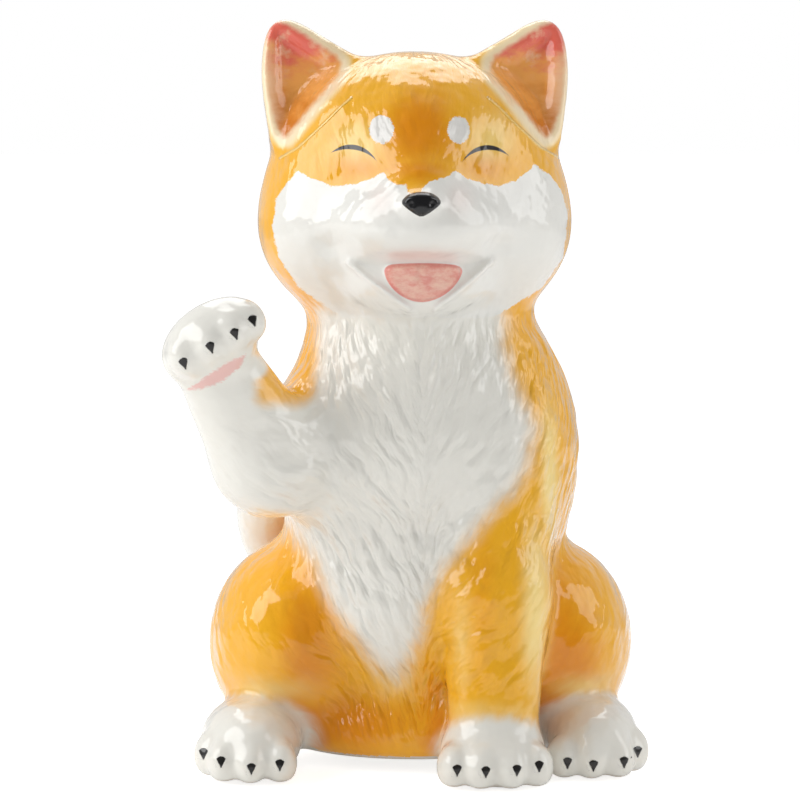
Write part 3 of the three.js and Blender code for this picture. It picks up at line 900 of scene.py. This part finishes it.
def painted_colour(n, place, streak, crease):
    """Every glaze and underglaze colour, each laid over the one before; the claws' share comes with it."""
    mask, tongue, nose = n.marks("edges")
    brow, ear, palm = n.marks("borders")
    thrown_at = n.mark("thrown")
    rosy = n.marks("details")[1]

    colour = coat_colour(n, streak, n.noise(place, 0.055))
    # Painted highlight: a thin cream line along the ridge under each ear, on top of cream paint.
    colour = n.mix(n.times(crease, 0.6), colour, GLAZE["cream"])
    colour = ear_colour(n, colour, streak, place, ear)
    ragged_mask = n.madd(n.noise(place, 0.32, 5, 0.75), 2.6, mask)
    ragged_palm = n.madd(n.noise(n.scaled(place, (0.7, 0.5, 1.5)), 0.9), 2.2, palm)
    ragged_brow = n.madd(n.noise(place, 0.8, 5, 0.8), 2.8, brow)
    claws = claw_share(n, n.noise(place, 0.9, 3, 0.7))
    layers = [
        (n.step(0.22, -0.22, ragged_mask), GLAZE["mask"]),
        (n.times(rosy, 0.55), GLAZE["blush"]),
        (n.times(n.step(0.5, -0.5, ragged_palm), 0.6), GLAZE["palm"]),
        (n.step(0.2, -0.2, tongue), tongue_colour(n, place, tongue)),
        (n.step(0.16, -0.16, ragged_brow), GLAZE["brow"]),
        *((eye_line(n, thrown_at, points), GLAZE["ink"]) for points in EYES),
        (claws, GLAZE["claw"]),
        (n.step(0.15, -0.15, nose), GLAZE["nose"]),
    ]
    for share, paint in layers:
        colour = n.mix(share, colour, paint)
    return colour, claws


def tongue_colour(n, place, edge):
    """Pink, with darker brush strokes and a darker border."""
    brushed = n.step(-0.2, 0.2, n.noise(n.scaled(place, (0.45, 0.3, 0.9)), 0.55, 5, 0.65))
    colour = n.mix(n.times(brushed, 0.7), GLAZE["tongue"], GLAZE["tongue_dark"])
    border = n.times(n.step(-1.6, -0.2, edge), 0.5)
    return n.mix(border, colour, GLAZE["tongue_dark"])


def fur_relief(n, place, fur):
    """The fine hair combed into the clay, between the modelled tufts."""
    amount = n.marks("details")[0]
    wander = n.node("TexNoise", {"Vector": place, "Scale": 0.07, "Detail": 1.0}, 1)
    swirled = n.node("VectorMath", {0: fur, 1: n.scaled(wander, (5.0, 5.0, 5.0))}, operation="ADD")
    cells = n.node("TexVoronoi", {"Vector": n.scaled(swirled, (0.10, 0.27, 0.03)), "Scale": 1.0,
                                  "Smoothness": 0.25}, feature="SMOOTH_F1")
    combed = n.noise(n.scaled(swirled, (0.11, 0.31, 0.03)), 1.0, 2, 0.5)
    strokes = n.madd(combed, 1.1, n.times(cells, -1.0))
    patchy = n.step(-0.45, 0.2, n.noise(place, 0.05))
    return n.times(strokes, n.times(amount, patchy))


def glaze_material():
    """Painted clay under a clear glossy glaze that pools and wavers a little."""
    n = Nodes(bpy.data.materials.new("glaze"))
    place, fur = n.mark("place"), n.mark("fur")
    streak = n.noise(n.scaled(fur, (0.12, 0.42, 0.02)), 1.0, 4, 0.6)
    crease = n.step(0.55, 0.15, n.marks("details")[2])
    colour, claws = painted_colour(n, place, streak, crease)
    pooled = n.times(n.noise(place, 0.09, 2, 0.4), 0.9)
    height = n.plus(fur_relief(n, place, fur), pooled)
    height = n.madd(crease, 0.25, n.madd(claws, 0.9, height))
    relief = n.bump(height, 0.8, 0.0022)
    return n.shade({"Base Color": colour, "Roughness": n.madd(streak, 0.12, 0.32), "Normal": relief,
                    "Coat Normal": relief, **GLAZE_FINISH})


def bisque_material():
    """Unglazed clay, on the inside and under the foot."""
    n = Nodes(bpy.data.materials.new("bisque"))
    place = n.mark("place")
    grain = n.noise(place, 1.6, 5, 0.7)
    stain = n.noise(place, 0.05, 3)
    colour = n.mix(n.step(-0.3, 0.3, stain), (0.66, 0.60, 0.52), (0.78, 0.74, 0.68))
    colour = n.mix(n.step(0.12, 0.3, grain), colour, (0.52, 0.44, 0.35))
    return n.shade({"Base Color": colour, "Roughness": n.madd(grain, 0.2, 0.82),
                    "Normal": n.bump(grain, 0.35, 0.0005)})


# ---- the ceramic figure

FINE = 0.65
COARSE = 1.0
# The grid's lines in X, Y and Z, finer around the face.
AXES = [
    graded(-92, 82, COARSE, -30, 28, FINE),
    graded(-80, 96, COARSE, -72, -34, FINE),
    graded(-3, 254, COARSE, 150, 216, FINE),
]
TUFT_LENGTH, TUFT_WIDTH, TUFT_HEIGHT = 11, 4.2, 0.6
CAVITY_REACH = 7  # ochre deepens where the clay comes this near again: pooled glaze, and painted shade in the hollows


def scatter(u, v, seed_u, seed_v, seed):
    """A fixed number from 0 to 1 for each cell, with no pattern to the eye."""
    return np.abs(np.sin(u * seed_u + v * seed_v)) * seed % 1


def tufts(fur):
    """Modelled locks of fur: overlapping lozenges, raised at their lower ends."""
    u, v = fur[:, 0] / TUFT_LENGTH, fur[:, 1] / TUFT_WIDTH
    best = np.zeros(len(fur))
    base_u, base_v = np.floor(u), np.floor(v)
    for du in (-1, 0, 1):
        for dv in (-1, 0, 1):
            cu, cv = base_u + du, base_v + dv
            shift_u = scatter(cu, cv, 12.99, 78.23, 437.5)
            shift_v = scatter(cu, cv, 39.35, 11.13, 915.3)
            along = u - (cu + 0.15 + 0.7 * shift_u)
            across = (v - (cv + 0.2 + 0.6 * shift_v)) / 0.62
            lock = (1 - across ** 2 - (along / 0.62) ** 2) * (0.55 + 0.45 * np.clip(along / 0.6, -1, 1))
            best = np.maximum(best, lock * (0.5 + 0.5 * shift_v))
    return best


def ceramic_figure():
    """The fired and painted casting; its inside and its under faces stay unglazed."""
    clay, masses = figure(AXES)
    points, quads = skin(clay)
    points = relax(clay, points, quads)
    normal = clay.normal(points)
    inside = (masses.sample(points) < -WALL + 1) & (clay.sample(points + normal) > 0)
    # Painted shade: the more closed in a point is, the deeper its ochre, in hollows and creases where shade
    # falls.
    hollow_shade = np.clip(1 - clay.sample(points + CAVITY_REACH * normal) / CAVITY_REACH, 0, 1) ** 1.5
    marks = paint_marks(points, normal, np.where(inside, 0, hollow_shade))
    amount = marks["details"][:, 0] * ~inside
    points = points + normal * (TUFT_HEIGHT * amount * tufts(marks["fur"]))[:, None]
    under = (points[:, 2] < UNDERSIDE + 1) & (normal[:, 2] < -0.75)
    body = mesh_object("ceramic_figure", to_row(points), quads)
    for name, values in marks.items():
        layer = body.data.attributes.new(name, "FLOAT_VECTOR", "POINT")
        layer.data.foreach_set("vector", values.astype(np.float32).ravel())
    body.data.materials.append(glaze_material())
    body.data.materials.append(bisque_material())
    raw = (inside | under)[quads].all(1)
    body.data.polygons.foreach_set("material_index", raw.astype(np.int32))
    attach(body, "bank")
    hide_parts("ceramic_body")
    print("figure:", len(points), "points", len(quads), "quads")


ceramic_figure()

# ---- stopper and pads

# The stopper's radii (RECESS is for a finger), then the heights of its flange, the flange's seat, its inner
# web and its free end.
FLANGE, PLUG, RIB, BORE, RECESS = 22, 15.8, 16.6, 13.6, 11.4
LOW, SEAT, WEB, TOP = 5.3, 7.7, 9.9, 18.7
RIBS = (0.45, 0.78)  # the ribs' places, as shares of the plug's height
TAB_HALF = 1.5  # half the finger tab's thickness
PAD_RADIUS, PAD_THICKNESS = 6, 1.6


def softened(points):
    """An open outline with its corners cut round, twice; its ends stay."""
    points = np.array(points, float)
    for _ in range(2):
        cut = np.stack([0.8 * points[:-1] + 0.2 * points[1:], 0.2 * points[:-1] + 0.8 * points[1:]], 1)
        points = np.concatenate([points[:1], cut.reshape(-1, 2)[1:-1], points[-1:]])
    return points


def lathe(profile, centre, segments):
    """Triangles turned about the upright line through centre; the profile starts and ends on it."""
    count = len(profile) - 2
    turn = np.arange(segments) / segments * 2 * math.pi
    radius, height = profile[1:-1, 0], profile[1:-1, 1]
    ring = np.stack([centre[0] + np.outer(radius, np.cos(turn)), centre[1] + np.outer(radius, np.sin(turn)),
                     np.repeat(height[:, None], segments, 1)], 2).reshape(-1, 3)
    poles = [[*centre, profile[0, 1]], [*centre, profile[-1, 1]]]
    i = np.arange(segments)
    after = (i + 1) % segments
    faces = [np.stack([np.full(segments, count * segments), after, i], 1)]
    for row in range(count - 1):
        low, high = row * segments, (row + 1) * segments
        faces.append(np.stack([low + i, low + after, high + after], 1))
        faces.append(np.stack([low + i, high + after, high + i], 1))
    last = (count - 1) * segments
    faces.append(np.stack([np.full(segments, count * segments + 1), last + i, last + after], 1))
    return np.concatenate([ring, poles]), np.concatenate(faces)


def rubber_material():
    """Soft moulded rubber: faintly mottled, with a fine matt grain."""
    n = Nodes(bpy.data.materials.new("rubber"))
    place = n.place_in_millimetres()
    mottle, grain = n.noise(place, 0.22, 4), n.noise(place, 4.0, 3, 0.6)
    colour = n.mix(n.step(-0.3, 0.3, mottle), (0.66, 0.62, 0.53), (0.77, 0.74, 0.66))
    colour = n.mix(n.step(0.14, 0.3, grain), colour, (0.55, 0.50, 0.42))
    return n.shade({"Base Color": colour, "Roughness": n.madd(grain, 0.25, 0.58), "Subsurface Weight": 0.08,
                    "Normal": n.bump(grain, 0.25, 0.0002)})


def foam_material():
    """Closed-cell foam of the pads."""
    n = Nodes(bpy.data.materials.new("pad"))
    place = n.place_in_millimetres()
    cells = n.node("TexVoronoi", {"Vector": place, "Scale": 1.9}, feature="F1")
    tint = n.noise(place, 0.6, 3)
    colour = n.mix(n.step(0.15, 0.6, cells), (0.50, 0.48, 0.44), (0.70, 0.68, 0.63))
    colour = n.mix(n.step(0.0, 0.35, tint), colour, (0.58, 0.55, 0.49))
    return n.shade({"Base Color": colour, "Roughness": n.madd(tint, 0.15, 0.9),
                    "Normal": n.bump(cells, 0.5, 0.0003)})


def rubber_stopper():
    """A hollow ribbed plug on a flange, with a finger recess and a tab to pull it by."""
    outline = [(0, SEAT), (RECESS - 0.4, SEAT), (RECESS, SEAT - 0.4), (RECESS, LOW + 0.4),
               (RECESS + 0.4, LOW), (FLANGE - 0.7, LOW), (FLANGE, LOW + 0.7), (FLANGE, SEAT - 0.6),
               (FLANGE - 0.6, SEAT), (PLUG + 0.3, SEAT), (PLUG, SEAT + 0.3)]
    for share in RIBS:
        height = SEAT + share * (TOP - SEAT)
        outline += [(PLUG, height - 0.9), (RIB, height), (PLUG, height + 0.9)]
    outline += [(PLUG - 1.2, TOP - 0.3), (PLUG - 1.5, TOP), (BORE, TOP), (BORE, WEB + 0.8),
                (BORE - 0.8, WEB), (0, WEB)]
    points, faces = lathe(softened(outline), (0, HOLE_BACK), 96)
    reach = RECESS + 0.8
    box = [-reach, HOLE_BACK - TAB_HALF, LOW + 0.2], [reach, HOLE_BACK + TAB_HALF, SEAT + 0.6]
    block = Clay([np.arange(low - 1, high + 1, 0.35) for low, high in zip(*box)])
    block.add(brick(*box, 0.9), 0.01)
    tab_points, tab_quads = skin(block)
    tab_points = relax(block, tab_points, tab_quads)
    tab = np.concatenate([tab_quads[:, :3], tab_quads[:, [0, 2, 3]]]) + len(points)
    plug = mesh_object("rubber_stopper", to_row(np.concatenate([points, tab_points])),
                       np.concatenate([faces, tab]))
    plug.data.materials.append(rubber_material())
    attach(plug, "stopper")
    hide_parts("base_stopper")


def foot_pad(name, place, material):
    """A thin foam disc with a rounded rim, in its seat."""
    outline = [(0, 0.02), (PAD_RADIUS - 0.9, 0), (PAD_RADIUS - 0.1, 0.25), (PAD_RADIUS, 0.6),
               (PAD_RADIUS, PAD_THICKNESS - 0.3), (PAD_RADIUS - 0.3, PAD_THICKNESS), (0, PAD_THICKNESS)]
    points, faces = lathe(softened(outline), place, 64)
    disc = mesh_object(name + "_foam", to_row(points), faces)
    disc.data.materials.append(material)
    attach(disc, "bank")
    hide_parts(name)


rubber_stopper()
foam = foam_material()
for pad_name, pad_place in PAD_PLACES.items():
    foot_pad(pad_name, pad_place, foam)

# ---- stage, light and camera


TARGET = (0, 0, 0.12)
# Each light's name, place, target, size, power, and whether it mirrors in the glaze.
LIGHTS = [
    ("left_softbox", (-1.0, -0.12, 0.72), TARGET, (0.75, 1.0), 8.0, True),
    ("right_softbox", (1.05, -0.12, 0.6), TARGET, (0.55, 0.9), 3.2, True),
    ("back_softbox", (0, 0.6, 0.95), (0, 0, 0.2), (0.8, 0.6), 3.4, True),
    ("front_fill", (0.05, -1.2, 0.6), TARGET, (0.8, 0.8), 3.2, False),
]
WHITE = (1, 1, 1)
FLOOR_FINISH = {"Base Color": (0.93, 0.93, 0.93), "Roughness": 0.6, "Emission Color": WHITE}
FLOOR_GLOW, FLOOR_GLOW_SEEN = 0.12, 0.6  # for every ray, and what the camera's rays see on top of it
SURROUNDINGS = {"From Min": -0.6, "From Max": 0.8, "To Min": 0.17, "To Max": 0.66}  # from front to back


def stage():
    """A pale floor that glows to white where the camera sees it."""
    bpy.ops.mesh.primitive_plane_add(size=40, location=(0, 0, 0))
    floor = bpy.context.object
    floor.name = "studio_floor"
    n = Nodes(bpy.data.materials.new("studio_floor"))
    glow = n.madd(n.node("LightPath", {}, "Is Camera Ray"), FLOOR_GLOW_SEEN, FLOOR_GLOW)
    floor.data.materials.append(n.shade({**FLOOR_FINISH, "Emission Strength": glow}))


def area_light(name, place, target, size, power, mirrored):
    light = bpy.data.lights.new(name, "AREA")
    light.energy = power
    light.shape = "RECTANGLE"
    light.size, light.size_y = size
    thing = bpy.data.objects.new(name, light)
    thing.location = place
    thing.rotation_euler = (Vector(target) - Vector(place)).to_track_quat("-Z", "Y").to_euler()
    thing.visible_glossy = mirrored
    bpy.context.scene.collection.objects.link(thing)


def studio_surroundings():
    """White to the camera. What lights the dog and mirrors in its glaze is darker in front of it."""
    n = Nodes(bpy.data.worlds.new("world"), "Background")
    to_the_back = n.split(n.node("TexCoord", {}, "Generated"))[1]
    level = n.node("MapRange", {"Value": to_the_back, **SURROUNDINGS}, interpolation_type="SMOOTHSTEP")
    strength = n.math("MAXIMUM", level, n.node("LightPath", {}, "Is Camera Ray"))
    bpy.context.scene.world = n.shade({"Color": WHITE, "Strength": strength})


def camera():
    data = bpy.data.cameras.new("camera")
    data.lens, data.sensor_width = CAMERA["lens"], 36
    thing = bpy.data.objects.new("camera", data)
    thing.location = to_row(VIEWPOINT)
    thing.rotation_euler = Vector(-camera_back()).to_track_quat("-Z", "Y").to_euler()
    bpy.context.scene.collection.objects.link(thing)
    bpy.context.scene.camera = thing


stage()
for light in LIGHTS:
    area_light(*light)
camera()
studio_surroundings()
bpy.context.scene.view_settings.view_transform = "Standard"
